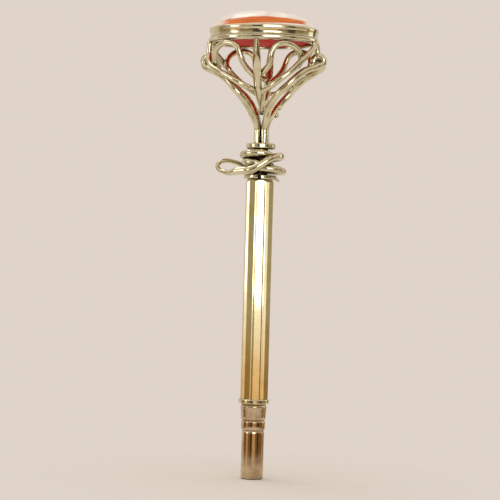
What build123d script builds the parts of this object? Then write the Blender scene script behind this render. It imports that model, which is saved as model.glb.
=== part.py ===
from build123d import *
import math
import os

# Gold fob watch key with a banded stone, millimetres.
# The key stands on the mouth of its pipe: +Z runs up the key to the stone, -Y is the front.

# Pipe and its steel socket
pipe_radius = 1.48
pipe_length = 6.4
pipe_bore_radius = 1.22
pipe_mouth_round = 0.14
pipe_shank_radius = 1.3
shank_in_barrel = 2.0
socket_flats = 1.5
socket_depth = 5.0
socket_floor = 1.6
socket_recess = 0.1
drive_fit = 0.01

# Ferrule on the pipe, with one turned groove and a narrow waist under the ring
ferrule_foot_radius = 1.55
ferrule_head_radius = 1.76
ferrule_length = 3.5
ferrule_edge = 0.08
groove_height = 1.4
groove_width = 0.16
groove_depth = 0.1
waist_height = 0.28
waist_depth = 0.22

# Ring that closes the lower end of the barrel
end_ring_radius = 2.04
end_ring_thickness = 0.62
end_ring_round = 0.14

# Eight-sided barrel with hollowed faces
barrel_sides = 8
barrel_flats = 3.54
barrel_length = 28.78
barrel_bore_radius = 1.4
barrel_turn = 13.8
flute_radius = 3.2
flute_depth = 0.05
barrel_end_chamfer = 0.22
plug_thickness = 1.2

# Neck: spindle, split washer and upper collar, with the room for the knot between them
spindle_radius = 0.95
washer_radius = 2.12
washer_thickness = 0.38
washer_tilt = 3.0
washer_slit = 0.3
washer_edge = 0.1
washer_space = 0.78
knot_space = 3.28
collar_radius = 1.95
collar_thickness = 0.76
collar_round = 0.24
running_clearance = 0.06
end_clearance = 0.07

# Wire of the knotted hanger and its loop
knot_wire = 0.76
knot_gap = 0.47
knot_headroom = 0.26
hanger_reach = 5.7

# Basket of wires under the stone
basket_height = 13.05
head_half_width = 7.36
head_half_depth = 6.4
stem_half_pitch = 0.5
stem_straight = 1.9
scroll_wire = 0.88
curl_radius = 0.7
lobe_wire = 0.76
strand_wire = 0.76
rib_width = 1.12
rib_depth = 0.62
bead_radius = 0.55
bead_height = 4.25
solder_gap = 0.03

# Oval setting
gallery_height = 0.7
gallery_wall = 1.0
gallery_round = 0.28
collet_height = 1.25
collet_inset = 0.14
collet_waist = 0.09
collet_wall = 0.42
collet_round = 0.1
collet_ledge = 0.6
collet_waist_share = 0.45

# Banded stone
stone_clearance = 0.02
stone_seat_height = 0.4
stone_girdle_height = 0.75
stone_bevel_height = 1.2
stone_bevel_inset = 0.95
stone_belly_depth = 0.95
stone_belly_inset = 1.34
stone_belly_round = 0.45
stone_rise = 3.1
stone_dome_radius = 13.5
stone_edge_round = 0.35

overrun = 1.0

# Shares under which two directions count as the same
turn_limit_share = 1e-9
bend_limit_share = 1e-6

# Heights of the joints up the key
ferrule_z = pipe_length
ring_z = ferrule_z + ferrule_length
barrel_z = ring_z + end_ring_thickness
barrel_top = barrel_z + barrel_length
knot_floor = barrel_top + washer_space
collar_z = knot_floor + knot_space
basket_z = collar_z + collar_thickness
gallery_z = basket_z + basket_height
collet_z = gallery_z + gallery_height
collet_top = collet_z + collet_height
stone_z = collet_z + stone_seat_height

# The winding, row by row: angle round the neck in degrees, share of the way from the inner
# to the outer layer, share of the height from the lowest to the highest strand.
first_turn_shares = [
    (158, 0.95, 0.90), (192, 0.92, 0.93), (230, 0.66, 1.00), (275, 0.30, 1.00),
    (320, 0.03, 0.94), (365, 0.02, 0.86), (410, 0.02, 0.76), (455, 0.02, 0.65),
    (500, 0.14, 0.49), (545, 0.50, 0.38), (590, 0.42, 0.37), (630, 0.02, 0.30),
    (662, 0.16, 0.17), (702, 0.86, 0.02), (745, 1.05, 0.00), (785, 1.05, 0.00),
]
# The loop: shares of the hanger's reach, of the outer layer's radius and of the height.
loop_shares = [
    (-0.18, 1.00, 0.04), (-0.44, 0.80, 0.28), (-0.65, 0.50, 0.54), (-0.835, 0.19, 0.62),
    (-0.952, 0.05, 0.51), (-1.00, -0.04, 0.23), (-0.952, -0.13, -0.05), (-0.835, -0.27, -0.165),
    (-0.69, -0.48, -0.18), (-0.52, -0.74, -0.155),
]
# The strand that crosses over the front and ends tucked in at the back.
over_turn_shares = [
    (240, 1.22, 0.00), (266, 1.08, 0.20), (289, 1.06, 0.43), (311, 1.04, 0.64),
    (336, 1.03, 0.79), (366, 1.02, 0.83), (400, 1.02, 0.80), (436, 1.02, 0.73), (470, 1.02, 0.66),
]

# Routes in the basket, as shares of the head's half width, half depth and basket height. The right-hand shapes
# are also the back left ones, and the left-hand shapes the back right ones.
right_scroll_shares = [
    (0.109, 0.160, 0.255), (0.167, 0.310, 0.337), (0.257, 0.450, 0.412), (0.383, 0.560, 0.494),
    (0.512, 0.590, 0.559), (0.655, 0.550, 0.638), (0.776, 0.425, 0.705), (0.885, 0.275, 0.742),
    (0.985, 0.155, 0.768),
]
left_scroll_shares = [
    (0.105, 0.155, 0.236), (0.150, 0.270, 0.296), (0.198, 0.385, 0.356), (0.272, 0.500, 0.424),
    (0.386, 0.575, 0.503), (0.504, 0.560, 0.576), (0.658, 0.455, 0.652), (0.815, 0.300, 0.700),
    (0.945, 0.165, 0.732),
]
right_curl_shares = (1.006, 0.085, 0.826)
left_curl_shares = (0.966, 0.085, 0.794)
curl_angles = (-15, 40, 95, 150, 190)
right_lobe_shares = [
    (0.040, 0.662, 0.672), (0.136, 0.724, 0.706), (0.215, 0.790, 0.757), (0.243, 0.845, 0.810),
    (0.262, 0.862, 0.872), (0.318, 0.852, 0.932), (0.425, 0.805, 0.9655), (0.550, 0.725, 0.962),
    (0.662, 0.615, 0.925), (0.722, 0.525, 0.875), (0.733, 0.472, 0.832), (0.718, 0.450, 0.792),
    (0.682, 0.450, 0.764),
]
left_lobe_shares = [
    (0.056, 0.655, 0.645), (0.155, 0.718, 0.698), (0.232, 0.790, 0.755), (0.278, 0.840, 0.812),
    (0.312, 0.860, 0.872), (0.372, 0.855, 0.932), (0.500, 0.805, 0.9655), (0.630, 0.735, 0.961),
    (0.738, 0.635, 0.925), (0.790, 0.540, 0.872), (0.800, 0.470, 0.822), (0.777, 0.410, 0.778),
    (0.748, 0.360, 0.745),
]
right_strand_shares = [
    (0.945, 0.290, 0.990), (0.940, 0.345, 0.945), (0.852, 0.500, 0.868), (0.752, 0.625, 0.797),
    (0.645, 0.715, 0.724), (0.520, 0.785, 0.657), (0.390, 0.800, 0.600), (0.285, 0.765, 0.558),
    (0.178, 0.705, 0.527), (0.072, 0.612, 0.508),
]
left_strand_shares = [
    (0.940, 0.245, 0.990), (0.947, 0.245, 0.925), (0.950, 0.262, 0.858), (0.926, 0.345, 0.797),
    (0.858, 0.455, 0.746), (0.724, 0.575, 0.700), (0.520, 0.695, 0.640), (0.340, 0.755, 0.582),
    (0.198, 0.715, 0.543), (0.071, 0.640, 0.520),
]
# The rib: share of the half depth, share of the basket height, share of the rib's width.
rib_shares = [
    (0.955, 1.000, 0.50), (0.938, 0.920, 0.80), (0.905, 0.830, 1.00), (0.815, 0.700, 1.00),
    (0.680, 0.585, 0.80), (0.560, 0.510, 0.62), (0.400, 0.425, 0.44), (0.060, 0.322, 0.30),
]


def arc_tangent(before, point, after):
    """Direction at the middle point of the circle through three points."""
    to_point = point - before
    onward = after - point
    return (to_point / to_point.length**2 + onward / onward.length**2).normalized()


def mirrored_tangent(tangent, chord):
    unit = chord.normalized()
    return unit * (2 * unit.dot(tangent)) - tangent


def route_tangents(points):
    inner = [arc_tangent(a, b, c) for a, b, c in zip(points, points[1:], points[2:])]
    first = mirrored_tangent(inner[0], points[1] - points[0])
    last = mirrored_tangent(inner[-1], points[-1] - points[-2])
    return [first, *inner, last]


def two_arcs(start, start_way, end, end_way):
    """A pair of arcs that leave and arrive in the given directions."""
    chord = end - start
    pull = 2 * (1 - start_way.dot(end_way))
    along = chord.dot(start_way + end_way)
    square = chord.dot(chord)
    if pull < turn_limit_share:
        reach = square / (2 * along)
    else:
        reach = (math.sqrt(along * along + pull * square) - along) / pull
    corner_a = start + start_way * reach
    corner_b = end - end_way * reach
    middle = (corner_a + corner_b) * 0.5
    return [(start, start_way, middle), (middle, (corner_b - corner_a).normalized(), end)]


def arc_path(places):
    points = [Vector(*place) for place in places]
    ways = route_tangents(points)
    edges = []
    for start, way, end, next_way in zip(points, ways, points[1:], ways[1:]):
        for a, tangent, b in two_arcs(start, way, end, next_way):
            straight = (b - a).cross(tangent).length < bend_limit_share * (b - a).length
            edges.append(Edge.make_line(a, b) if straight else Edge.make_tangent_arc(a, tangent, b))
    return Wire(edges), ways[0]


def round_wire(places, diameter):
    path, way = arc_path(places)
    return sweep(Plane(origin=places[0], z_dir=way) * Circle(diameter / 2), path=path)


def upright(radius, height, z):
    return Pos(0, 0, z) * Cylinder(radius, height, align=(Align.CENTER, Align.CENTER, Align.MIN))


def turned(outline):
    """Solid of revolution from (radius, height) corners."""
    face = make_face(Polyline([(r, 0, z) for r, z in outline], close=True))
    return revolve(face, Axis.Z)


def key_pipe():
    top = barrel_z + shank_in_barrel
    body = upright(pipe_radius, pipe_length, 0)
    body = fillet(body.edges().group_by(Axis.Z)[0], pipe_mouth_round)
    body += upright(pipe_shank_radius, top - pipe_length, pipe_length)
    bore_end = socket_recess + socket_depth + socket_floor + drive_fit
    return body - upright(pipe_bore_radius, bore_end + overrun, -overrun)


def steel_socket():
    body = upright(pipe_bore_radius - drive_fit, socket_depth + socket_floor, socket_recess)
    square = Pos(0, 0, socket_recess - overrun) * Box(
        socket_flats, socket_flats, socket_depth + overrun, align=(Align.CENTER, Align.CENTER, Align.MIN))
    return body - square


def pipe_ferrule():
    top = ring_z - drive_fit
    waist = ferrule_head_radius - waist_depth
    slope = (ferrule_head_radius - ferrule_foot_radius) / ferrule_length
    groove = ferrule_z + groove_height
    body = turned([
        (0, ferrule_z), (ferrule_foot_radius - ferrule_edge, ferrule_z),
        (ferrule_foot_radius, ferrule_z + ferrule_edge),
        (ferrule_head_radius, top - waist_height), (waist, top - waist_height), (waist, top), (0, top)])
    groove_radius = ferrule_foot_radius + slope * groove_height
    ring = upright(groove_radius + overrun, groove_width, groove - groove_width / 2)
    ring -= upright(groove_radius - groove_depth, groove_width, groove - groove_width / 2)
    bore = upright(pipe_shank_radius + drive_fit, ferrule_length + overrun * 2, ferrule_z - overrun)
    return body - ring - bore


def ring_plate(outer, bore, thickness, z, edge_round):
    plate = upright(outer, thickness, z)
    rims = [edge for edge in plate.edges() if edge.geom_type == GeomType.CIRCLE]
    return fillet(rims, edge_round) - upright(bore, thickness + overrun * 2, z - overrun)


def barrel_blank():
    corner = barrel_flats / 2 / math.cos(math.pi / barrel_sides)
    half_side = 180 / barrel_sides
    section = Rot(0, 0, barrel_turn - 90 + half_side) * RegularPolygon(corner, barrel_sides)
    blank = Pos(0, 0, barrel_z) * extrude(section, barrel_length)
    flute_place = barrel_flats / 2 + flute_radius - flute_depth
    for side in range(barrel_sides):
        turn = barrel_turn - 90 + side * 360 / barrel_sides
        cutter = Rot(0, 0, turn) * Pos(flute_place, 0, 0) * upright(
            flute_radius, barrel_length + overrun * 2, barrel_z - overrun)
        blank -= cutter
    return blank


def barrel_tube():
    rim = barrel_flats / 2 - barrel_end_chamfer / 2
    reach = barrel_end_chamfer + overrun
    envelope = turned([(0, barrel_z), (rim + reach, barrel_z), (rim + reach, barrel_top - reach),
                       (rim, barrel_top), (0, barrel_top)])
    bore = upright(barrel_bore_radius, barrel_length + overrun * 2, barrel_z - overrun)
    return (barrel_blank() & envelope) - bore


def barrel_plug():
    foot = barrel_top - plug_thickness
    plug = upright(barrel_bore_radius - drive_fit, plug_thickness, foot)
    return plug - upright(spindle_radius + drive_fit, plug_thickness + overrun * 2, foot - overrun)


def neck_spindle():
    foot = barrel_top - plug_thickness
    return upright(spindle_radius, basket_z - foot, foot)


def split_washer():
    drop = washer_radius * math.sin(math.radians(washer_tilt))
    lift = barrel_top + solder_gap + drop + washer_thickness / 2
    plate = ring_plate(washer_radius, spindle_radius + running_clearance * 2, washer_thickness,
                       -washer_thickness / 2, washer_edge)
    slit = Pos(washer_slit, -washer_radius, 0) * Box(washer_slit, washer_radius * 2, overrun * 2)
    return Pos(0, 0, lift) * Rot(0, washer_tilt, 0) * (plate - slit)


def knot_places():
    inner = spindle_radius + running_clearance + knot_wire / 2
    outer = inner + knot_wire + knot_gap
    low = knot_floor + end_clearance + knot_wire / 2
    high = collar_z - knot_headroom - knot_wire / 2

    def wound(rows):
        for angle, layer, rise in rows:
            radius = inner + (outer - inner) * layer
            turn = math.radians(angle)
            yield (radius * math.cos(turn), radius * math.sin(turn), low + (high - low) * rise)

    loop = [(x * hanger_reach, y * outer, low + (high - low) * z) for x, y, z in loop_shares]
    return [*wound(first_turn_shares), *loop, *wound(over_turn_shares)]


def least_gap(path, diameter, step_share=0.2, skip=3.0):
    """Least gap of a bent wire to itself, measured between points along it."""
    steps = int(path.length / (diameter * step_share))
    spots = [path.position_at(i / steps) for i in range(steps + 1)]
    apart = int(steps * skip * diameter / path.length)
    pairs = ((spots[i] - spots[j]).length for i in range(len(spots)) for j in range(i + apart, len(spots)))
    return min(pairs) - diameter


def swivel_knot():
    places = knot_places()
    path, _ = arc_path(places)
    knot = round_wire(places, knot_wire)
    print("knot wire length", round(path.length, 2), "least gap to itself", round(least_gap(path, knot_wire), 3))
    print("knot volume over section times length",
          round(knot.volume / (path.length * math.pi * (knot_wire / 2) ** 2), 5))
    return knot


def basket_place(shares):
    x, y, z = shares
    return (x * head_half_width, -y * head_half_depth, basket_z + z * basket_height)


def scroll_places(route_shares, curl_centre_shares):
    lifts = (solder_gap, stem_straight / 2, stem_straight)
    foot = [(stem_half_pitch, -stem_half_pitch, basket_z + lift) for lift in lifts]
    rise = [basket_place(row) for row in route_shares]
    cx, cy, cz = basket_place(curl_centre_shares)
    curl = []
    for angle in curl_angles:
        turn = math.radians(angle)
        curl.append((cx + curl_radius * math.cos(turn), cy, cz + curl_radius * math.sin(turn)))
    return [*foot, *rise, *curl]


def four_ways(side_x, side_y):
    """Mirror for one quarter of the basket: side_x is 1 on the right, side_y is 1 at the front."""
    def place(shape):
        shape = shape if side_x > 0 else mirror(shape, Plane.YZ)
        return shape if side_y > 0 else mirror(shape, Plane.XZ)
    return place


def rib():
    sections = []
    places = [Vector(0, -y * head_half_depth, basket_z + z * basket_height - solder_gap)
              for y, z, _ in rib_shares]
    ways = route_tangents(places)
    for place, way, (_, _, width_share) in zip(places, ways, rib_shares):
        half = rib_width * width_share / 2
        deep = rib_depth / 2
        plane = Plane(origin=place, x_dir=(1, 0, 0), z_dir=way)
        sections.append(plane * Polygon((-half, 0), (0, -deep), (half, 0), (0, deep), align=None))
    strip = loft(sections)
    top = gallery_z - solder_gap
    cap = Pos(0, 0, top) * Box(head_half_width, head_half_depth * 2, overrun * 2,
                               align=(Align.CENTER, Align.CENTER, Align.MIN))
    return strip - cap - crotch_bead(solder_gap)


def crotch_bead(extra=0):
    return Pos(0, 0, basket_z + bead_height) * Sphere(bead_radius + extra)


def oval(inset, z):
    return Pos(0, 0, z) * Ellipse(head_half_width - inset, head_half_depth - inset)


def gallery_ring():
    band = extrude(oval(0, gallery_z), gallery_height)
    rims = [edge for edge in band.edges() if edge.geom_type == GeomType.ELLIPSE]
    band = fillet(rims, gallery_round)
    return band - extrude(oval(gallery_wall, gallery_z - overrun), gallery_height + overrun * 2)


def stone_shell(extra):
    """Girdle and bevel of the stone, grown by a clearance."""
    inset = collet_inset + collet_wall + stone_clearance - extra
    slope = stone_bevel_inset / stone_bevel_height
    bevel_z = stone_z + stone_girdle_height
    top = stone_z + stone_rise
    girdle = extrude(oval(inset, stone_z), stone_girdle_height)
    bevel = loft([oval(inset, bevel_z), oval(inset + slope * (top - bevel_z), top)])
    return girdle + bevel


def bezel_collet():
    waist_z = collet_z + collet_height * collet_waist_share
    band = loft([oval(collet_inset + collet_waist / 2, collet_z), oval(collet_inset + collet_waist, waist_z),
                 oval(collet_inset, collet_top)])
    rim = band.edges().group_by(Axis.Z)[-1]
    band = fillet(rim, collet_round)
    window = collet_inset + collet_wall + collet_ledge
    band -= extrude(oval(window, collet_z - overrun), collet_height + overrun)
    return band - stone_shell(stone_clearance)


def seal_stone():
    dome_z = stone_z + stone_rise - stone_dome_radius
    stone = stone_shell(0) & (Pos(0, 0, dome_z) * Sphere(stone_dome_radius))
    rim = stone.edges().filter_by(lambda edge: edge.center().Z > stone_z + stone_girdle_height * 2)
    belly = extrude(oval(stone_belly_inset, stone_z - stone_belly_depth), stone_belly_depth)
    foot = belly.edges().group_by(Axis.Z)[0]
    return fillet(rim, stone_edge_round) + fillet(foot, stone_belly_round)


def write(name, shape):
    solids = shape.solids()
    shape = solids[0] if len(solids) == 1 else Compound(solids)
    shape.label = name
    export_step(shape, f"parts/{name}.step")
    print(f"{name:20} {len(solids)} {shape.volume:9.3f} valid {shape.is_valid}")


def main():
    os.makedirs("parts", exist_ok=True)
    write("key_pipe", key_pipe())
    write("steel_socket", steel_socket())
    write("pipe_ferrule", pipe_ferrule())
    write("barrel_end_ring", ring_plate(end_ring_radius, pipe_shank_radius + drive_fit,
                                        end_ring_thickness - drive_fit, ring_z, end_ring_round))
    write("barrel_tube", barrel_tube())
    write("barrel_top_plug", barrel_plug())
    write("neck_spindle", neck_spindle())
    write("split_washer", split_washer())
    write("swivel_knot", swivel_knot())
    write("upper_collar", ring_plate(collar_radius, spindle_radius + drive_fit,
                                     collar_thickness - drive_fit, collar_z, collar_round))
    write("crotch_bead", crotch_bead())
    scrolls = {
        1: round_wire(scroll_places(right_scroll_shares, right_curl_shares), scroll_wire),
        -1: round_wire(scroll_places(left_scroll_shares, left_curl_shares), scroll_wire),
    }
    lobes = {
        1: round_wire([basket_place(row) for row in right_lobe_shares], lobe_wire),
        -1: round_wire([basket_place(row) for row in left_lobe_shares], lobe_wire),
    }
    strands = {
        1: round_wire([basket_place(row) for row in right_strand_shares], strand_wire),
        -1: round_wire([basket_place(row) for row in left_strand_shares], strand_wire),
    }
    for side_y, depth_name in ((1, "front"), (-1, "back")):
        write(f"{depth_name}_rib", four_ways(1, side_y)(rib()))
        for side_x, width_name in ((1, "right"), (-1, "left")):
            place = four_ways(side_x, side_y)
            hand = side_x * side_y
            write(f"{depth_name}_{width_name}_scroll", place(scrolls[hand]))
            write(f"{depth_name}_{width_name}_lobe", place(lobes[hand]))
            write(f"{depth_name}_{width_name}_strand", place(strands[hand]))
    write("gallery_ring", gallery_ring())
    write("bezel_collet", bezel_collet())
    write("seal_stone", seal_stone())
    print("total height", round(stone_z + stone_rise, 3))


main()
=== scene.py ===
# %% [markdown]
# # A gold watch key, dressed from its CAD solids
# A watch key winds a pocket watch: a square hole in its pipe fits over the watch's winding square, and the
# maker turned the rest into a jewel with a wire basket and a banded stone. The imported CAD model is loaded
# first and never moves. The pieces made here take their places from that frame or are written in its
# millimetres, so the looks stay close to the real sizes.

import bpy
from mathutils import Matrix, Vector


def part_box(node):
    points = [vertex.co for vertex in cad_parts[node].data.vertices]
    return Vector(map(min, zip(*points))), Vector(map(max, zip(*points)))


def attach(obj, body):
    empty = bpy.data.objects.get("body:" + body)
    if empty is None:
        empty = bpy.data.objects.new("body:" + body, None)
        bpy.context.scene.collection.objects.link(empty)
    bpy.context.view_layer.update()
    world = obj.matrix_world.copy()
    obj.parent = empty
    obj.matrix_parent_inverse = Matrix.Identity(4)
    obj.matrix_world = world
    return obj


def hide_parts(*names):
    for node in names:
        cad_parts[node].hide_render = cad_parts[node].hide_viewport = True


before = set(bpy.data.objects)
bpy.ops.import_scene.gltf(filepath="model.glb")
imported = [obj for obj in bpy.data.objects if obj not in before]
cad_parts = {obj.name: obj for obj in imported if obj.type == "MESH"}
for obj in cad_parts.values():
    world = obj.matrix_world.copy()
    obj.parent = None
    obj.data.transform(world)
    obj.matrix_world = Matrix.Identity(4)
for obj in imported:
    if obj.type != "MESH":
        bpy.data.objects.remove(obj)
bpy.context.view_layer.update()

# %% Blender's modules and the unit
import math

import bmesh
import bpy
from mathutils import Matrix, Vector, noise

MM = 0.001


def span(node):
    """Lowest and highest corner of a CAD node, in millimetres."""
    low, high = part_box(node)
    return Vector(low) / MM, Vector(high) / MM


print("key stands", round(span("seal_stone")[1].z, 2), "mm tall")

# %% [markdown]
# ## The camera
# The photograph looks level at the key from nine degrees to the right of its front, close enough for a
# slight perspective, and the key leans a little in the frame. The lens is worked out from the picture's
# width, so the sensor stays at Blender's usual 36 mm.

# %% Place the camera
VIEW_TURN = math.radians(9.0)
VIEW_ROLL = math.radians(1.6)
VIEW_DISTANCE = 228.0
VIEW_HEIGHT = 30.05
VIEW_SHIFT = -1.05
VIEW_LENS = 124.76

right = Vector((math.cos(VIEW_TURN), math.sin(VIEW_TURN), 0))
ahead = Vector((-math.sin(VIEW_TURN), math.cos(VIEW_TURN), 0))
level = Vector((0, 0, 1))
across = right * math.cos(VIEW_ROLL) + level * math.sin(VIEW_ROLL)
upward = level * math.cos(VIEW_ROLL) - right * math.sin(VIEW_ROLL)
place = right * VIEW_SHIFT - ahead * VIEW_DISTANCE + level * VIEW_HEIGHT

camera = bpy.data.objects.new("camera", bpy.data.cameras.new("camera"))
camera.data.lens = VIEW_LENS
camera.data.clip_start = MM
camera.matrix_world = Matrix.Translation(place * MM) @ Matrix((across, upward, -ahead)).transposed().to_4x4()
bpy.context.scene.collection.objects.link(camera)
bpy.context.scene.camera = camera
print("camera at", [round(v, 1) for v in place], "mm")

# %% [markdown]
# ## Small helpers for materials
# Colours are written as the eye reads them, in sRGB hex, and turned to linear light by one function.
# Another adds a node with its settings and links, so a material reads from top to bottom like a recipe.
# Three short ones stand for the nodes that come back most often: a colour ramp, a sum, and a soft step from
# one value to another.

# %% Colour and node helpers
def linear(hex_colour):
    """Linear RGBA of an sRGB hex colour."""
    parts = [int(hex_colour[i:i + 2], 16) / 255 for i in (1, 3, 5)]
    return (*[p / 12.92 if p <= 0.04045 else ((p + 0.055) / 1.055) ** 2.4 for p in parts], 1)


def add(tree, kind, inputs=None, **settings):
    """Add a node, set its properties, and fill its sockets with values or links."""
    node = tree.nodes.new(kind)
    for name, value in settings.items():
        setattr(node, name, value)
    for socket, value in (inputs or {}).items():
        if isinstance(value, bpy.types.NodeSocket):
            tree.links.new(value, node.inputs[socket])
        else:
            node.inputs[socket].default_value = value
    return node


def ramp(tree, factor, stops):
    """A colour ramp with (position, colour) stops."""
    node = add(tree, "ShaderNodeValToRGB", {"Fac": factor})
    elements = node.color_ramp.elements
    while len(elements) > 1:
        elements.remove(elements[-1])
    elements[0].position, elements[0].color = stops[0]
    for position, colour in stops[1:]:
        elements.new(position).color = colour
    return node


def maths(tree, operation, *values):
    """The result of a Math node."""
    return add(tree, "ShaderNodeMath", dict(enumerate(values)), operation=operation).outputs[0]


def soft_step(tree, value, start, end):
    """0 before the start and 1 past the end, with a smooth change between them."""
    inputs = {0: value, 1: start, 2: end}
    return add(tree, "ShaderNodeMapRange", inputs, interpolation_type="SMOOTHSTEP").outputs[0]


def new_material(name):
    """An empty material and its node tree."""
    material = bpy.data.materials.new(name)
    material.use_nodes = True
    tree = material.node_tree
    tree.nodes.clear()
    return material, tree


def grey(value):
    """A grey for a mask, from 0 to 1."""
    return (value, value, value, 1)


print("white is", linear("#FFFFFF")[:3])

# %% [markdown]
# ## Gold
# Old low-carat gold is a polished metal under a thin life of wear: almost white where it catches a lamp,
# olive where it meets a dark side of the room, brown where polish and dirt stay in the smallest corners. A
# metal has no colour of its own beside what it reflects, so most of this look comes from the studio further
# down. Here a slow noise thins and thickens a dull film, and ambient occlusion darkens the colour in corners.
# Within a fraction of a millimetre that is grime, but over the wires' wider reach it is painted shade, which
# darkens the inside of the basket and the crevices of the knot. Two bumps break up the reflections:
# hand-worked waves one to three millimetres long, and hairline scratches.

# %% The gold materials
PATCH_MM, SPECK_MM, SCRATCH_DEPTH_MM = 2.2, 0.35, 0.004
SCRATCH_TURN, SCRATCH_SCALE = (0.3, 0.5, 0.2), (9000, 9000, 700)


def gold(name, bright, film, grime_and_shade_tone, rough, wave_mm, wave_depth_mm, corner_mm):
    material, tree = new_material(name)
    place = add(tree, "ShaderNodeTexCoord").outputs["Object"]
    patches = add(tree, "ShaderNodeTexNoise", {"Vector": place, "Scale": 1 / (PATCH_MM * MM), "Detail": 4.0,
                                               "Roughness": 0.6})
    specks = add(tree, "ShaderNodeTexNoise", {"Vector": place, "Scale": 1 / (SPECK_MM * MM), "Detail": 3.0})
    film_mask = ramp(tree, patches.outputs["Fac"], [(0.42, grey(0)), (0.68, grey(1))])
    # Ambient occlusion pulls the colour towards the dark tone in corners. Over a short reach this is grime,
    # and where the reach spans whole gaps it is painted shade.
    corners = add(tree, "ShaderNodeAmbientOcclusion", {"Distance": corner_mm * MM}, samples=6)
    dirt_and_shade_mask = ramp(tree, corners.outputs["AO"], [(0.22, grey(1)), (0.70, grey(0))])
    speck_mask = ramp(tree, specks.outputs["Fac"], [(0.35, grey(0.5)), (0.62, grey(1))])
    dirt_and_shade = maths(tree, "MULTIPLY", dirt_and_shade_mask.outputs["Color"], speck_mask.outputs["Color"])
    body = add(tree, "ShaderNodeMix", {0: film_mask.outputs["Color"], 6: linear(bright), 7: linear(film)},
               data_type="RGBA")
    colour = add(tree, "ShaderNodeMix", {0: dirt_and_shade, 6: body.outputs[2], 7: linear(grime_and_shade_tone)}, data_type="RGBA")
    roughness = add(tree, "ShaderNodeMapRange", {0: film_mask.outputs["Color"], 3: rough, 4: rough * 1.8})
    rougher = maths(tree, "MULTIPLY_ADD", dirt_and_shade, 0.30, roughness.outputs[0])
    waves = add(tree, "ShaderNodeTexNoise", {"Vector": place, "Scale": 1 / (wave_mm * MM), "Detail": 1.0})
    wave_bump = add(tree, "ShaderNodeBump", {"Height": waves.outputs["Fac"], "Strength": 1.0,
                                             "Distance": wave_depth_mm * MM})
    hair = add(tree, "ShaderNodeMapping", {"Vector": place, "Rotation": SCRATCH_TURN, "Scale": SCRATCH_SCALE})
    scratches = add(tree, "ShaderNodeTexNoise", {"Vector": hair.outputs[0], "Scale": 1.0, "Detail": 2.0})
    bump = add(tree, "ShaderNodeBump", {"Height": scratches.outputs["Fac"], "Strength": 0.12,
                                        "Distance": SCRATCH_DEPTH_MM * MM, "Normal": wave_bump.outputs[0]})
    metal = add(tree, "ShaderNodeBsdfPrincipled", {"Base Color": colour.outputs[2], "Metallic": 1.0,
                                                   "Roughness": rougher, "Normal": bump.outputs[0]})
    add(tree, "ShaderNodeOutputMaterial", {"Surface": metal.outputs[0]})
    return material


barrel_gold = gold("burnished_yellow_gold", bright="#E6D6AC", film="#D6C496", grime_and_shade_tone="#4A371D",
                   rough=0.045, wave_mm=2.6, wave_depth_mm=0.006, corner_mm=0.35)
# The wires' occlusion reaches 2.6 mm, so their dark tone is mostly painted shade inside the basket and the
# knot.
wire_gold = gold("hand_drawn_yellow_gold", bright="#E6E0BC", film="#C9BD9B", grime_and_shade_tone="#2E2318",
                 rough=0.10, wave_mm=1.1, wave_depth_mm=0.020, corner_mm=2.60)
rose_gold = gold("burnished_rose_gold", bright="#D6C2A0", film="#AE8F6E", grime_and_shade_tone="#2B1E16",
                 rough=0.08, wave_mm=1.8, wave_depth_mm=0.010, corner_mm=0.40)
# A dark, rough gold that paints shade: the spindle and the plug show only through the knot's gaps, and this
# keeps them dark there.
gap_shade_gold = gold("painted_shade_gold", bright="#6B5840", film="#4A3826", grime_and_shade_tone="#17110C",
                 rough=0.38, wave_mm=0.9, wave_depth_mm=0.020, corner_mm=1.20)
print("gold materials", barrel_gold.name, wire_gold.name, rose_gold.name, gap_shade_gold.name)

# %% The steel of the socket
STEEL_GRAIN_MM, STEEL_PIT_MM = 0.4, 0.01


def steel(name):
    """Filed carbon steel, greyed and a little pitted: a soft grey glint inside the pipe."""
    material, tree = new_material(name)
    place = add(tree, "ShaderNodeTexCoord").outputs["Object"]
    grain = add(tree, "ShaderNodeTexNoise", {"Vector": place, "Scale": 1 / (STEEL_GRAIN_MM * MM),
                                             "Detail": 4.0})
    colour = ramp(tree, grain.outputs["Fac"], [(0.35, linear("#54565B")), (0.7, linear("#A4A9B2"))])
    pits = add(tree, "ShaderNodeBump", {"Height": grain.outputs["Fac"], "Strength": 0.6,
                                        "Distance": STEEL_PIT_MM * MM})
    metal = add(tree, "ShaderNodeBsdfPrincipled", {"Base Color": colour.outputs["Color"], "Metallic": 1.0,
                                                   "Roughness": 0.32, "Normal": pits.outputs[0]})
    add(tree, "ShaderNodeOutputMaterial", {"Surface": metal.outputs[0]})
    return material


dark_steel = steel("filed_steel")
print("steel", dark_steel.name)

# %% [markdown]
# ## Banded agate
# A seal stone of this kind is cut so that a thin white layer lies over a translucent orange one, and its
# back looks deep red where light comes through it. The layers are read from the height in the stone: a
# curved boundary, because natural bands are never quite flat, with a little noise to keep the line alive.
# The white runs down at both ends, as it does where the cutter rounds the stone through a band. The back is
# left matte from the grinding wheel and glows a little, which is a cheap way to show light that has passed
# through the stone.

# %% The banded stone
STONE_BAND_TOP = 60.12
STONE_BAND_MIDDLE = 0.9
STONE_BAND_CURVE = 0.012
STONE_BAND_FROM, STONE_BAND_TO, STONE_RIM_BLEND = 0.03, 0.22, 0.08
STONE_CLOUD_MM, STONE_CLOUD_LIFT = 2.2, 0.22
STONE_STREAKS = (180, 180, 2200)
LEFT_WHITE_START, LEFT_WHITE_END = -3.6, -5.7
RIGHT_WHITE_START, RIGHT_WHITE_END = 5.4, 6.1
STONE_RIM, STONE_RIM_TILT = 59.20, -0.03
STONE_BACK, STONE_BACK_BLEND = 58.45, 0.4


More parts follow.
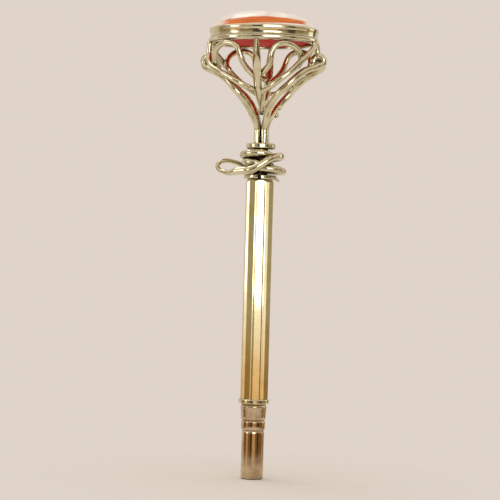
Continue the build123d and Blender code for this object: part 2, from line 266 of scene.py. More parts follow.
def agate(name):
    material, tree = new_material(name)
    place = add(tree, "ShaderNodeTexCoord").outputs["Object"]
    axes = add(tree, "ShaderNodeSeparateXYZ", {"Vector": place})
    cloud = add(tree, "ShaderNodeTexNoise", {"Vector": place, "Scale": 1 / (STONE_CLOUD_MM * MM),
                                             "Detail": 3.0})
    streaks = add(tree, "ShaderNodeMapping", {"Vector": place, "Scale": STONE_STREAKS})
    bands = add(tree, "ShaderNodeTexNoise", {"Vector": streaks.outputs[0], "Scale": 1.0, "Detail": 3.0})
    x_mm = maths(tree, "MULTIPLY", axes.outputs["X"], 1 / MM)
    z_mm = maths(tree, "MULTIPLY", axes.outputs["Z"], 1 / MM)
    x_off = maths(tree, "SUBTRACT", x_mm, STONE_BAND_MIDDLE)
    bent = maths(tree, "MULTIPLY_ADD", maths(tree, "MULTIPLY", x_off, x_off), STONE_BAND_CURVE, z_mm)
    wander = maths(tree, "MULTIPLY_ADD", cloud.outputs["Fac"], STONE_CLOUD_LIFT, bent)
    layer = soft_step(tree, wander, STONE_BAND_TOP + STONE_BAND_FROM, STONE_BAND_TOP + STONE_BAND_TO)
    left_end = soft_step(tree, x_mm, LEFT_WHITE_START, LEFT_WHITE_END)
    right_end = soft_step(tree, x_mm, RIGHT_WHITE_START, RIGHT_WHITE_END)
    tilted = maths(tree, "MULTIPLY_ADD", x_mm, STONE_RIM_TILT, z_mm)
    under = soft_step(tree, tilted, STONE_RIM + STONE_RIM_BLEND, STONE_RIM)
    rim = maths(tree, "MAXIMUM", under, maths(tree, "MAXIMUM", left_end, right_end))
    over = maths(tree, "MAXIMUM", layer, rim)
    back = soft_step(tree, z_mm, STONE_BACK, STONE_BACK + STONE_BACK_BLEND)
    capped = maths(tree, "MULTIPLY", over, back)
    orange = ramp(tree, bands.outputs["Fac"], [(0.30, linear("#A84E24")), (0.50, linear("#C8642A")),
                                               (0.70, linear("#DC7C36"))])
    white = ramp(tree, cloud.outputs["Fac"], [(0.30, linear("#D9C7B6")), (0.65, linear("#F0E6DA"))])
    red = ramp(tree, cloud.outputs["Fac"], [(0.30, linear("#7C1006")), (0.70, linear("#B82008"))])
    lower = add(tree, "ShaderNodeMix", {0: back, 6: red.outputs[0], 7: orange.outputs[0]},
                data_type="RGBA")
    colour = add(tree, "ShaderNodeMix", {0: capped, 6: lower.outputs[2], 7: white.outputs[0]},
                 data_type="RGBA")
    gleam = add(tree, "ShaderNodeMapRange", {0: back, 3: 0.13, 4: 0.0})
    ground = add(tree, "ShaderNodeMapRange", {0: back, 3: 0.55, 4: 0.08})
    shine = add(tree, "ShaderNodeMapRange", {0: back, 3: 0.10, 4: 0.30})
    stone = add(tree, "ShaderNodeBsdfPrincipled", {
        "Base Color": colour.outputs[2], "Roughness": ground.outputs[0], "IOR": 1.54,
        "Specular IOR Level": shine.outputs[0], "Emission Color": linear("#FF1C04"),
        "Emission Strength": gleam.outputs[0]})
    add(tree, "ShaderNodeOutputMaterial", {"Surface": stone.outputs[0]})
    return material


banded_agate = agate("polished_banded_agate")
print("stone layers meet near", STONE_BAND_TOP, "mm")

# %% Give the CAD nodes their materials
# The spindle and the plug take the dark gold that paints the shade in the knot's gaps.
finish_of = {"key_pipe": rose_gold, "pipe_ferrule": rose_gold, "barrel_end_ring": wire_gold,
             "steel_socket": dark_steel, "seal_stone": banded_agate, "barrel_tube": barrel_gold,
             "neck_spindle": gap_shade_gold, "barrel_top_plug": gap_shade_gold}
for name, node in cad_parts.items():
    node.data.materials.clear()
    node.data.materials.append(finish_of.get(name, wire_gold))
print("finished", len(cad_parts), "CAD nodes")

# %% [markdown]
# ## Three helpers for pieces
# Every new piece ends in the same way: its faces are made to point outwards, it is shaded smooth, it takes a
# material, and it rides on the body that carries it. A second helper extrudes a loop of edges on the spot, so
# that a bar or a tube whose width changes can be drawn row by row. A third moves the skin a little, as hand
# work leaves it.

# %% Piece, extrusion and skin helpers
WELD_MM = 0.0005


def finish_piece(name, mesh, material, body, replaced, sharp_angle=40):
    """Turn a bmesh into a piece that rides on a body and may replace CAD nodes."""
    bmesh.ops.remove_doubles(mesh, verts=mesh.verts, dist=WELD_MM * MM)
    bmesh.ops.recalc_face_normals(mesh, faces=mesh.faces)
    data = bpy.data.meshes.new(name)
    mesh.to_mesh(data)
    mesh.free()
    data.shade_smooth()
    data.set_sharp_from_angle(angle=math.radians(sharp_angle))
    data.materials.append(material)
    piece = bpy.data.objects.new(name, data)
    bpy.context.scene.collection.objects.link(piece)
    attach(piece, body)
    if replaced:
        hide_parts(*replaced)
    print(f"{name:24} {len(data.polygons):6} faces")


def grow(mesh, edges):
    """Extrude a loop of edges on the spot and return the new vertices and the new loop."""
    grown = bmesh.ops.extrude_edge_only(mesh, edges=edges)["geom"]
    verts = [g for g in grown if isinstance(g, bmesh.types.BMVert)]
    fresh = set(verts)
    loop = [e for e in mesh.edges if e.verts[0] in fresh and e.verts[1] in fresh]
    return verts, loop


def roughen(mesh, wave_mm, depth_mm):
    """Move the skin in and out a few hundredths of a millimetre, as hammer and file leave it."""
    for vert in mesh.verts:
        vert.co += vert.normal * noise.noise(vert.co / (wave_mm * MM)) * depth_mm * MM


# %% [markdown]
# ## Wires
# The stem and the basket are bent from drawn wire. A Bezier curve through a few places, with automatic
# handles, bends just as a wire does, and its bevel gives it a round section. The radius changes a little
# from place to place, the way pliers and files leave it. The curve is turned into a mesh, and its flat ends
# are domed into melted tips.

# %% Draw a wire
TIP_STEPS = ((0.12, 0.26), (0.26, 0.20), (0.30, 0.08))


def wire_mesh(places, mesh=None):
    """Add a wire through (x, y, z, radius) places in millimetres to a bmesh."""
    curve = bpy.data.curves.new("wire", "CURVE")
    curve.dimensions = "3D"
    curve.bevel_depth = MM
    curve.bevel_resolution = 5
    curve.resolution_u = 6
    curve.use_fill_caps = True
    spline = curve.splines.new("BEZIER")
    spline.bezier_points.add(len(places) - 1)
    for point, (x, y, z, radius) in zip(spline.bezier_points, places):
        point.co = Vector((x, y, z)) * MM
        point.handle_left_type = point.handle_right_type = "AUTO"
        point.radius = radius
    drawn = bpy.data.objects.new("wire", curve)
    skin = bpy.data.meshes.new_from_object(drawn)
    mesh = mesh or bmesh.new()
    before = set(mesh.faces)
    mesh.from_mesh(skin)
    for cap in [f for f in mesh.faces if f not in before and len(f.verts) > 4]:
        reach = math.sqrt(cap.calc_area() / math.pi)
        for inset, rise in TIP_STEPS:
            bmesh.ops.inset_individual(mesh, faces=[cap], thickness=inset * reach, depth=rise * reach)
    bpy.data.objects.remove(drawn)
    bpy.data.curves.remove(curve)
    bpy.data.meshes.remove(skin)
    return mesh


def uneven(places, radius, swell, seed):
    """Give each place of a wire its own radius, close to the wire's."""
    return [(*place, radius * (1 + swell * noise.noise(Vector((step * 0.9, seed, 0.5)))))
            for step, place in enumerate(places)]


print("wire helpers ready")

# %% [markdown]
# ## The basket
# Twelve wires make the basket: four scrolls that are also the stem, four lobes and four strands, between a
# front and a back rib. Their routes are kept as shares of the head's half width, half depth and height, and
# those three sizes come from the frame. The back is the front turned half round.

# %% Sizes of the head
JOINT_GAP = 0.01
head_low, head_high = span("gallery_ring")
HEAD_HALF_WIDTH = head_high.x
HEAD_HALF_DEPTH = head_high.y
BASKET_FOOT = span("upper_collar")[1].z + JOINT_GAP
BASKET_HEIGHT = head_low.z - BASKET_FOOT
STEM_HALF_PITCH = 0.5
STEM_LIFTS = (0.02, 0.95, 1.9)
CURL_RADIUS = 0.675


def basket_place(shares):
    """A place in millimetres from shares of the head's half width, half depth and height."""
    x, y, z = shares
    return (x * HEAD_HALF_WIDTH, -y * HEAD_HALF_DEPTH, BASKET_FOOT + z * BASKET_HEIGHT)


print("basket", round(BASKET_FOOT, 2), "to", round(head_low.z, 2), "half width", round(HEAD_HALF_WIDTH, 2))

# %% Routes of the scrolls, lobes and strands
RIGHT_SCROLL = [
    (0.109, 0.160, 0.255), (0.167, 0.310, 0.337), (0.257, 0.450, 0.412), (0.383, 0.560, 0.494),
    (0.512, 0.590, 0.559), (0.655, 0.550, 0.638), (0.776, 0.425, 0.705), (0.885, 0.275, 0.742),
    (0.985, 0.155, 0.768),
]
LEFT_SCROLL = [
    (0.105, 0.155, 0.236), (0.150, 0.270, 0.296), (0.198, 0.385, 0.356), (0.272, 0.500, 0.424),
    (0.386, 0.575, 0.503), (0.504, 0.560, 0.576), (0.658, 0.455, 0.652), (0.815, 0.300, 0.700),
    (0.945, 0.165, 0.732),
]
RIGHT_CURL_CENTRE = (1.006, 0.085, 0.826)
LEFT_CURL_CENTRE = (0.966, 0.085, 0.794)
CURL_ANGLES = (-15, 40, 95, 150, 190)
RIGHT_LOBE = [
    (0.040, 0.662, 0.672), (0.136, 0.724, 0.706), (0.215, 0.790, 0.757), (0.243, 0.845, 0.810),
    (0.262, 0.862, 0.872), (0.318, 0.852, 0.932), (0.425, 0.805, 0.9655), (0.550, 0.725, 0.962),
    (0.662, 0.615, 0.925), (0.722, 0.525, 0.875), (0.733, 0.472, 0.832), (0.718, 0.450, 0.792),
    (0.682, 0.450, 0.764),
]
LEFT_LOBE = [
    (0.056, 0.655, 0.645), (0.155, 0.718, 0.698), (0.232, 0.790, 0.755), (0.278, 0.840, 0.812),
    (0.312, 0.860, 0.872), (0.372, 0.855, 0.932), (0.500, 0.805, 0.9655), (0.630, 0.735, 0.961),
    (0.738, 0.635, 0.925), (0.790, 0.540, 0.872), (0.800, 0.470, 0.822), (0.777, 0.410, 0.778),
    (0.748, 0.360, 0.745),
]
RIGHT_STRAND = [
    (0.945, 0.290, 0.990), (0.940, 0.345, 0.945), (0.852, 0.500, 0.868), (0.752, 0.625, 0.797),
    (0.645, 0.715, 0.724), (0.520, 0.785, 0.657), (0.390, 0.800, 0.600), (0.285, 0.765, 0.558),
    (0.190, 0.690, 0.527), (0.100, 0.585, 0.508),
]
LEFT_STRAND = [
    (0.940, 0.245, 0.990), (0.947, 0.245, 0.925), (0.950, 0.262, 0.858), (0.926, 0.345, 0.797),
    (0.858, 0.455, 0.746), (0.724, 0.575, 0.700), (0.520, 0.695, 0.640), (0.340, 0.755, 0.582),
    (0.205, 0.700, 0.543), (0.100, 0.600, 0.520),
]


def scroll_places(route, curl_centre):
    """The straight foot of a scroll, its route, and the curl at its end."""
    foot = [(STEM_HALF_PITCH, -STEM_HALF_PITCH, BASKET_FOOT + lift) for lift in STEM_LIFTS]
    cx, cy, cz = basket_place(curl_centre)
    curl = [(cx + CURL_RADIUS * math.cos(math.radians(a)), cy, cz + CURL_RADIUS * math.sin(math.radians(a)))
            for a in CURL_ANGLES]
    return [*foot, *[basket_place(row) for row in route], *curl]


print("rows in a scroll", len(scroll_places(RIGHT_SCROLL, RIGHT_CURL_CENTRE)))

# %% Bend the twelve wires
SCROLL_RADIUS, LOBE_RADIUS, STRAND_RADIUS, WIRE_SWELL = 0.45, 0.385, 0.375, 0.10
shapes = {
    "scroll": {1: (scroll_places(RIGHT_SCROLL, RIGHT_CURL_CENTRE), SCROLL_RADIUS),
               -1: (scroll_places(LEFT_SCROLL, LEFT_CURL_CENTRE), SCROLL_RADIUS)},
    "lobe": {1: ([basket_place(row) for row in RIGHT_LOBE], LOBE_RADIUS),
             -1: ([basket_place(row) for row in LEFT_LOBE], LOBE_RADIUS)},
    "strand": {1: ([basket_place(row) for row in RIGHT_STRAND], STRAND_RADIUS),
               -1: ([basket_place(row) for row in LEFT_STRAND], STRAND_RADIUS)},
}
for side_y, depth_name in ((1, "front"), (-1, "back")):
    for side_x, width_name in ((1, "right"), (-1, "left")):
        for number, (kind, hands) in enumerate(shapes.items()):
            places, radius = hands[side_x * side_y]
            placed = [(x * side_x, y * side_y, z) for x, y, z in places]
            mesh = wire_mesh(uneven(placed, radius, WIRE_SWELL, number * 7.3 + side_x * 2.1 + side_y))
            roughen(mesh, wave_mm=0.9, depth_mm=0.020)
            node = f"{depth_name}_{width_name}_{kind}"
            finish_piece(node + "_wire", mesh, wire_gold, "key", [node])

# %% [markdown]
# ## The ribs
# Front and back, a filed bar runs from the crotch up to the setting. Its section is a flat diamond, so a
# ridge runs down the middle and the two facets catch different light. A four-sided ring is carried up a
# smooth line, and the four long edges are bevelled a little, because a file never leaves them perfectly
# sharp.

# %% File the two ribs
RIB_WIDTH, RIB_DEPTH, RIB_EDGE, RIB_STEPS = 1.12, 0.62, 0.035, 5
RIB_ROWS = [(0.955, 1.003, 0.50), (0.938, 0.920, 0.78), (0.905, 0.830, 0.95), (0.815, 0.700, 1.00),
            (0.680, 0.585, 0.98), (0.560, 0.510, 0.90), (0.400, 0.425, 0.74), (0.060, 0.322, 0.42)]


def smooth_rows(rows, steps):
    """Fill in between rows of numbers with a curve that passes through each of them."""
    padded = [rows[0], *rows, rows[-1]]
    for a, b, c, d in zip(padded, padded[1:], padded[2:], padded[3:]):
        for step in range(steps):
            t = step / steps
            yield tuple(0.5 * (2 * q + (r - p) * t + (2 * p - 5 * q + 4 * r - s) * t * t
                               + (3 * q - p - 3 * r + s) * t ** 3) for p, q, r, s in zip(a, b, c, d))
    yield rows[-1]


def file_rib(name, side_y, node):
    """Carry a four-sided ring up the rib's rows and soften its long edges."""
    rows = list(smooth_rows(RIB_ROWS, RIB_STEPS))
    spots = [Vector((0, -y * HEAD_HALF_DEPTH * side_y, BASKET_FOOT + z * BASKET_HEIGHT)) for y, z, _ in rows]
    mesh = bmesh.new()
    bmesh.ops.create_circle(mesh, segments=4, radius=1)
    loop, verts, ridges, last = list(mesh.edges), list(mesh.verts), [], None
    for number, (spot, row) in enumerate(zip(spots, rows)):
        way = (spots[min(number + 1, len(spots) - 1)] - spots[max(number - 1, 0)]).normalized()
        out = way.cross(Vector((1, 0, 0)))
        scale = Matrix.Diagonal((RIB_WIDTH * row[2] / 2 * MM, RIB_DEPTH / 2 * MM, MM))
        turn = Matrix((Vector((1, 0, 0)), out, way)).transposed() @ scale
        frame_now = Matrix.Translation(spot * MM) @ turn.to_4x4()
        if last is not None:
            verts, loop = grow(mesh, loop)
            fresh = set(verts)
            ridges += [e for v in verts for e in v.link_edges if e.other_vert(v) not in fresh]
            bmesh.ops.transform(mesh, matrix=frame_now @ last.inverted(), verts=verts)
        else:
            bmesh.ops.transform(mesh, matrix=frame_now, verts=verts)
        last = frame_now
    bmesh.ops.holes_fill(mesh, edges=[e for e in mesh.edges if e.is_boundary])
    bmesh.ops.bevel(mesh, geom=ridges, offset=RIB_EDGE * MM, segments=2, profile=0.5, affect="EDGES",
                    material=-1)
    finish_piece(name, mesh, wire_gold, "key", [node], sharp_angle=50)


file_rib("front_rib_bar", 1, "front_rib")
file_rib("back_rib_bar", -1, "back_rib")

# %% [markdown]
# ## The barrel
# The grip is a tube with eight long faces, each slightly hollowed, so every face shows a band of light that
# narrows and widens. A round ring of vertices is pulled in to that outline and drawn up the barrel. Near
# the top the radius is limited, row by row, which turns the corners off at 45 degrees as a lathe would.

# %% Plane the barrel
BARREL_SIDES, BARREL_FLATS, BARREL_TURN = 8, 3.54, 13.8
FLUTE_RADIUS, FLUTE_DEPTH, BARREL_BORE, BARREL_CHAMFER = 3.4, 0.08, 1.4, 0.11
FACE_POINTS, BARREL_ROWS, BARREL_TOP_DROPS = 12, 12, (0.32, 0.24, 0.16, 0.08, 0.0)
ARRIS_EDGE, ARRIS_TOLERANCE = 0.045, 0.001
barrel_low, barrel_high = (corner.z for corner in span("barrel_tube"))


def barrel_radius(angle):
    """Distance from the axis to the skin at an angle from the middle of the nearest face."""
    centre = BARREL_FLATS / 2 + FLUTE_RADIUS - FLUTE_DEPTH
    hollow = centre * math.cos(angle) - math.sqrt(FLUTE_RADIUS ** 2 - (centre * math.sin(angle)) ** 2)
    return min(hollow, BARREL_FLATS / 2 / math.cos(angle))


mesh = bmesh.new()
bmesh.ops.create_circle(mesh, segments=BARREL_SIDES * FACE_POINTS, radius=1)
face_turn, half_face = math.radians(BARREL_TURN - 90), math.pi / BARREL_SIDES
first = mesh.verts[:][0].co
bmesh.ops.rotate(mesh, verts=mesh.verts, matrix=Matrix.Rotation(
    face_turn + half_face - math.atan2(first.y, first.x), 3, "Z"))
for vert in mesh.verts:
    off = (math.atan2(vert.co.y, vert.co.x) - face_turn + half_face) % (2 * half_face) - half_face
    vert.co *= barrel_radius(off) * MM
    vert.co.z = barrel_low * MM
foot_loop = loop = list(mesh.edges)
arris_reach = (BARREL_FLATS / 2 / math.cos(half_face) - ARRIS_TOLERANCE) * MM
arris_ends = {v for v in mesh.verts if v.co.xy.length > arris_reach}
length = barrel_high - barrel_low
heights = [length * row / BARREL_ROWS for row in range(1, BARREL_ROWS)]
heights += [length - drop for drop in BARREL_TOP_DROPS]
arrises, last = [], 0.0
for height in heights:
    verts, loop = grow(mesh, loop)
    for vert in verts:
        old = next(e.other_vert(vert) for e in vert.link_edges if e.other_vert(vert) not in set(verts))
        if old in arris_ends:
            arrises += [e for e in vert.link_edges if e.other_vert(vert) is old]
            arris_ends.add(vert)
    bmesh.ops.translate(mesh, verts=verts, vec=(0, 0, (height - last) * MM))
    limit = (BARREL_FLATS / 2 - BARREL_CHAMFER + length - height) * MM
    for vert in verts:
        vert.co.xy *= min(1.0, limit / vert.co.xy.length)
    last = height
for level in (barrel_high, barrel_low):
    verts, loop = grow(mesh, loop)
    for vert in verts:
        vert.co.xy = vert.co.xy.normalized() * BARREL_BORE * MM
        vert.co.z = level * MM
bmesh.ops.bridge_loops(mesh, edges=foot_loop + loop)
bmesh.ops.bevel(mesh, geom=arrises[:], offset=ARRIS_EDGE * MM, segments=2, profile=0.5, affect="EDGES",
                material=-1)
finish_piece("barrel_skin", mesh, barrel_gold, "key", ["barrel_tube"], sharp_angle=30)

# %% [markdown]
# ## The pipe and its ferrule
# Below the barrel everything is turned on a lathe: the pipe with its rounded mouth, and a slightly conical
# ferrule with a groove cut round it. An outline is drawn, its corners are rounded, and it is spun once
# round. The narrow groove matters more than its size, because it shows as a dark line with a bright rim
# below. The thin ring at the barrel's end stays as it is in the CAD.

# %% Turn the pipe and the ferrule
PIPE_RADIUS, PIPE_BORE, PIPE_SHANK = 1.48, 1.22, 1.30
FERRULE_FOOT, FERRULE_HEAD, TURNED_EDGE = 1.55, 1.76, 0.03
GROOVE_LIFT, GROOVE_DEPTH, GROOVE_WIDTH = 1.34, 0.12, 0.17
AXIS_GAP, LATHE_STEPS = 0.02, 96


def turn_on_lathe(name, outline, node):
    """Round the corners of an outline of (radius, height) places, and spin it once round."""
    mesh = bmesh.new()
    verts = [mesh.verts.new((reach * MM, 0, lift * MM)) for reach, lift in outline]
    mesh.faces.new(verts)
    bmesh.ops.bevel(mesh, geom=verts, offset=TURNED_EDGE * MM, segments=4, profile=0.5, affect="VERTICES",
                    material=-1)
    bmesh.ops.delete(mesh, geom=mesh.faces[:], context="FACES_ONLY")
    bmesh.ops.spin(mesh, geom=mesh.edges[:] + mesh.verts[:], cent=(0, 0, 0), axis=(0, 0, 1), dvec=(0, 0, 0),
                   angle=2 * math.pi, steps=LATHE_STEPS, use_merge=True, use_duplicate=False)
    finish_piece(name, mesh, rose_gold, "key", [node], sharp_angle=60)


pipe_top = span("pipe_ferrule")[0].z
ferrule_top = span("pipe_ferrule")[1].z
shank_top = span("key_pipe")[1].z
bore_top = span("steel_socket")[1].z + JOINT_GAP
groove = pipe_top + GROOVE_LIFT
turn_on_lathe("turned_pipe", [
    (PIPE_BORE, 0), (PIPE_RADIUS - 0.10, 0), (PIPE_RADIUS - 0.01, 0.12), (PIPE_RADIUS, 0.30),
    (PIPE_RADIUS, 0.60), (PIPE_RADIUS, pipe_top - 0.60), (PIPE_RADIUS, pipe_top - 0.34),
    (PIPE_RADIUS - 0.01, pipe_top - 0.20), (PIPE_RADIUS - 0.10, pipe_top - 0.02), (PIPE_SHANK, pipe_top),
    (PIPE_SHANK, shank_top), (AXIS_GAP, shank_top), (AXIS_GAP, bore_top), (PIPE_BORE, bore_top),
], "key_pipe")
turn_on_lathe("turned_ferrule", [
    (PIPE_SHANK + JOINT_GAP, pipe_top + JOINT_GAP), (FERRULE_FOOT - 0.12, pipe_top + JOINT_GAP),
    (FERRULE_FOOT + 0.02, pipe_top + 0.16), (FERRULE_FOOT + 0.04, groove - 0.24),
    (FERRULE_FOOT - 0.02, groove - GROOVE_WIDTH / 2), (FERRULE_FOOT - GROOVE_DEPTH, groove),
    (FERRULE_FOOT + 0.05, groove + GROOVE_WIDTH / 2), (FERRULE_FOOT + 0.08, groove + 0.26),
    (FERRULE_FOOT + 0.095, groove + 0.42), (FERRULE_HEAD - 0.05, ferrule_top - 0.60),
    (FERRULE_HEAD - 0.03, ferrule_top - 0.38), (FERRULE_HEAD - 0.14, ferrule_top - 0.16),
    (FERRULE_HEAD - 0.24, ferrule_top), (PIPE_SHANK + JOINT_GAP, ferrule_top),
], "pipe_ferrule")

# %% [markdown]
# ## The setting
# Two oval bands hold the stone: a half-round gallery wire below, and above it the collet, a wall that is
# rolled over the stone's edge. Each is a flat outline spun round, and then the round band is pulled into
# the oval, so that its section stays nearly the same all the way round.

# %% Spin the oval bands
SPIN_RADIUS, BAND_EDGE, BAND_STEPS = 7.0, 0.03, 144
BAND_WOBBLE, WOBBLES_ROUND, WOBBLES_UP = 0.03, 5, 0.8


def oval_band(name, outline, node):
    """Spin an outline of (outset, height) corners and pull it to the head's oval."""
    mesh = bmesh.new()
    verts = [mesh.verts.new(((SPIN_RADIUS + outset) * MM, 0, height * MM)) for outset, height in outline]
    mesh.faces.new(verts)
    bmesh.ops.bevel(mesh, geom=verts, offset=BAND_EDGE * MM, segments=3, profile=0.5, affect="VERTICES",
                    material=-1)
    bmesh.ops.delete(mesh, geom=mesh.faces[:], context="FACES_ONLY")
    bmesh.ops.spin(mesh, geom=mesh.edges[:] + mesh.verts[:], cent=(0, 0, 0), axis=(0, 0, 1), dvec=(0, 0, 0),
                   angle=2 * math.pi, steps=BAND_STEPS, use_merge=True, use_duplicate=False)
    for vert in mesh.verts:
        reach = vert.co.xy.length / MM - SPIN_RADIUS
        way = vert.co.xy.normalized()
        spot = Vector((way.x * WOBBLES_ROUND, way.y * WOBBLES_ROUND, vert.co.z / MM * WOBBLES_UP))
        bump = BAND_WOBBLE * noise.noise(spot)
        vert.co.x = way.x * (HEAD_HALF_WIDTH + reach + bump) * MM
        vert.co.y = way.y * (HEAD_HALF_DEPTH + reach + bump) * MM
    finish_piece(name, mesh, wire_gold, "key", [node], sharp_angle=45)


gallery_low, gallery_high = (corner.z for corner in span("gallery_ring"))
oval_band("gallery_wire", [
    (-1.0, gallery_low), (-0.34, gallery_low), (-0.12, gallery_low + 0.07), (-0.02, gallery_low + 0.22),
    (-0.01, gallery_high - 0.26), (-0.10, gallery_high - 0.09), (-0.26, gallery_high), (-1.0, gallery_high),
], "gallery_ring")

collet_low, collet_high = (corner.z for corner in span("bezel_collet"))
oval_band("collet_wall", [
    (-1.16, collet_low), (-0.20, collet_low), (-0.27, collet_low + 0.10), (-0.27, collet_low + 0.30),
    (-0.21, collet_low + 0.62), (-0.14, collet_low + 0.84), (-0.13, collet_high - 0.20),
    (-0.19, collet_high - 0.06), (-0.32, collet_high), (-0.50, collet_high - 0.04),
    (-0.56, collet_high - 0.12), (-0.57, collet_low + 0.42), (-1.16, collet_low + 0.41),
], "bezel_collet")

# %% [markdown]
# ## The stone
# The stone is an oval cabochon: full shoulders, a nearly flat crown, and a shallow belly that looks down
# into the basket. Its outline is spun at unit size, as a true round, and then scaled to the oval of the CAD
# stone.

# %% Cut the stone
STONE_CROWN = [
    (0.0, 1.0), (0.20, 0.992), (0.38, 0.965), (0.55, 0.905), (0.72, 0.785), (0.85, 0.590), (0.92, 0.420),
    (0.965, 0.270), (0.99, 0.140), (1.0, 0.040),
]
STONE_BELLY = [(1.0, 0.95), (0.90, 0.95), (0.90, 0.50), (0.875, 0.22), (0.82, 0.06), (0.74, 0.0), (0.0, 0.0)]
CROWN_FOOT, BELLY_TOP, CROWN_STEPS, STONE_STEPS = 59.02, 58.27, 4, 128

stone_low, stone_high = span("seal_stone")
mesh = bmesh.new()
outline = [(reach, CROWN_FOOT + (stone_high.z - CROWN_FOOT) * lift)
           for reach, lift in smooth_rows(STONE_CROWN, CROWN_STEPS)]
outline += [(reach, stone_low.z + (BELLY_TOP - stone_low.z) * lift) for reach, lift in STONE_BELLY]
profile = [mesh.verts.new((reach * MM, 0, height * MM)) for reach, height in outline]
for upper, lower in zip(profile, profile[1:]):
    mesh.edges.new((upper, lower))
bmesh.ops.spin(mesh, geom=mesh.edges[:] + mesh.verts[:], cent=(0, 0, 0), axis=(0, 0, 1), dvec=(0, 0, 0),
               angle=2 * math.pi, steps=STONE_STEPS, use_merge=True, use_duplicate=False)
bmesh.ops.scale(mesh, vec=(stone_high.x, stone_high.y, 1), verts=mesh.verts)
finish_piece("domed_stone", mesh, banded_agate, "key", ["seal_stone"], sharp_angle=45)

# %% [markdown]
# ## The knotted hanger
# Below the collar one wire is wound round the neck, leaves it in a small loop, and comes back over the
# front. It isn't soldered: it turns on the neck, so it rides on its own body. The places are given as an
# angle round the neck, a distance from its axis, a height and the wire's radius, which gets thinner in the
# loop. The places of the loop itself are plain x, y, z.

# %% Wind the knot
WOUND_ROWS = [
    (80, 1.66, 42.40, 0.38), (112, 1.86, 42.44, 0.42), (148, 2.12, 42.50, 0.47), (182, 2.28, 42.56, 0.50),
    (215, 2.18, 42.64, 0.50), (245, 2.00, 42.72, 0.50), (275, 1.88, 42.76, 0.49), (305, 1.80, 42.66, 0.47),
    (335, 1.68, 42.44, 0.43), (367, 1.54, 42.16, 0.41), (405, 1.48, 42.00, 0.40), (450, 1.47, 41.88, 0.40),
    (495, 1.52, 41.76, 0.42), (533, 1.80, 41.68, 0.47), (565, 2.04, 41.64, 0.50), (594, 2.00, 41.56, 0.50),
    (624, 1.72, 41.42, 0.46), (662, 1.50, 41.30, 0.43), (705, 1.48, 41.20, 0.41), (750, 1.46, 41.08, 0.40),
    (795, 1.46, 40.96, 0.40), (840, 1.47, 40.80, 0.40), (885, 1.48, 40.66, 0.41), (930, 1.50, 40.60, 0.42),
    (965, 1.54, 40.62, 0.43), (988, 1.70, 40.70, 0.44), (1010, 2.04, 40.76, 0.46), (1032, 2.46, 40.72, 0.48),
    (1056, 2.86, 40.58, 0.50), (1080, 3.00, 40.46, 0.50), (1108, 2.88, 40.46, 0.47),
    (1142, 2.68, 40.50, 0.42), (1176, 2.62, 40.56, 0.38),
]
LOOP_ROWS = [
    (-1.03, 2.60, 40.68, 0.36), (-2.50, 2.08, 41.20, 0.33), (-3.70, 1.30, 41.66, 0.31),
    (-4.86, 0.50, 41.76, 0.30), (-5.50, 0.13, 41.46, 0.29), (-5.70, -0.10, 40.98, 0.29),
    (-5.42, -0.34, 40.56, 0.29), (-4.76, -0.71, 40.26, 0.30), (-3.95, -1.26, 40.10, 0.36),
    (-3.10, -1.80, 40.26, 0.50),
]
CROSSING_ROWS = [
    (234, 2.82, 40.42, 0.53), (250, 2.80, 40.48, 0.55), (262, 2.78, 40.66, 0.53), (274, 2.75, 41.00, 0.50),
    (287, 2.72, 41.42, 0.48), (302, 2.72, 41.84, 0.49), (320, 2.72, 42.20, 0.52), (342, 2.72, 42.42, 0.53),
    (366, 2.70, 42.42, 0.49), (400, 2.66, 42.26, 0.43), (430, 2.64, 42.06, 0.38), (455, 2.60, 41.88, 0.35),
]


def round_neck(rows):
    """Places in x, y, z from rows of (angle, distance, height, radius)."""
    places = []
    for angle, distance, height, radius in rows:
        turn = math.radians(angle)
        places.append((distance * math.cos(turn), distance * math.sin(turn), height, radius))
    return places


mesh = wire_mesh([*round_neck(WOUND_ROWS), *LOOP_ROWS, *round_neck(CROSSING_ROWS)])
roughen(mesh, wave_mm=0.8, depth_mm=0.018)
finish_piece("hanger_knot", mesh, wire_gold, "hanger", ["swivel_knot"])

# %% [markdown]
# ## The split washer
# Under the knot lies a ring that was cut open and sprung onto the neck, so its two lips don't quite meet. A
# rounded section is spun most of the way round with a small rise, which gives the ring its slight twist,
# and a bent tongue of wire stands out over the barrel's edge.

# %% Spin the split washer
WASHER_INNER, WASHER_OUTER, WASHER_THICK, WASHER_EDGE, WASHER_GAP = 1.10, 2.16, 0.54, 0.13, 0.04
WASHER_LIP, WASHER_SWEEP, WASHER_STEPS, WASHER_STEP_RISE = 283, 348, 80, 0.0012
TONGUE_ROWS = [(1.62, -1.50, 0.24, 0.20), (2.08, -1.20, 0.14, 0.21), (2.40, -0.78, -0.04, 0.19),
               (2.52, -0.40, -0.18, 0.15)]
washer_foot = barrel_high + WASHER_GAP
mesh = bmesh.new()
section = [mesh.verts.new((reach * MM, 0, (washer_foot + lift) * MM)) for reach, lift in (
    (WASHER_INNER, 0), (WASHER_OUTER, 0), (WASHER_OUTER, WASHER_THICK), (WASHER_INNER, WASHER_THICK))]
mesh.faces.new(section)
bmesh.ops.bevel(mesh, geom=section, offset=WASHER_EDGE * MM, segments=4, profile=0.5, affect="VERTICES",
                material=-1)
bmesh.ops.rotate(mesh, verts=mesh.verts, matrix=Matrix.Rotation(math.radians(WASHER_LIP), 3, "Z"))
bmesh.ops.spin(mesh, geom=mesh.faces[:] + mesh.edges[:] + mesh.verts[:], cent=(0, 0, 0), axis=(0, 0, 1),
               dvec=(0, 0, WASHER_STEP_RISE * MM), angle=math.radians(WASHER_SWEEP), steps=WASHER_STEPS,
               use_duplicate=False)
bmesh.ops.holes_fill(mesh, edges=[e for e in mesh.edges if e.is_boundary])
wire_mesh([(x, y, washer_foot + lift, radius) for x, y, lift, radius in TONGUE_ROWS], mesh)
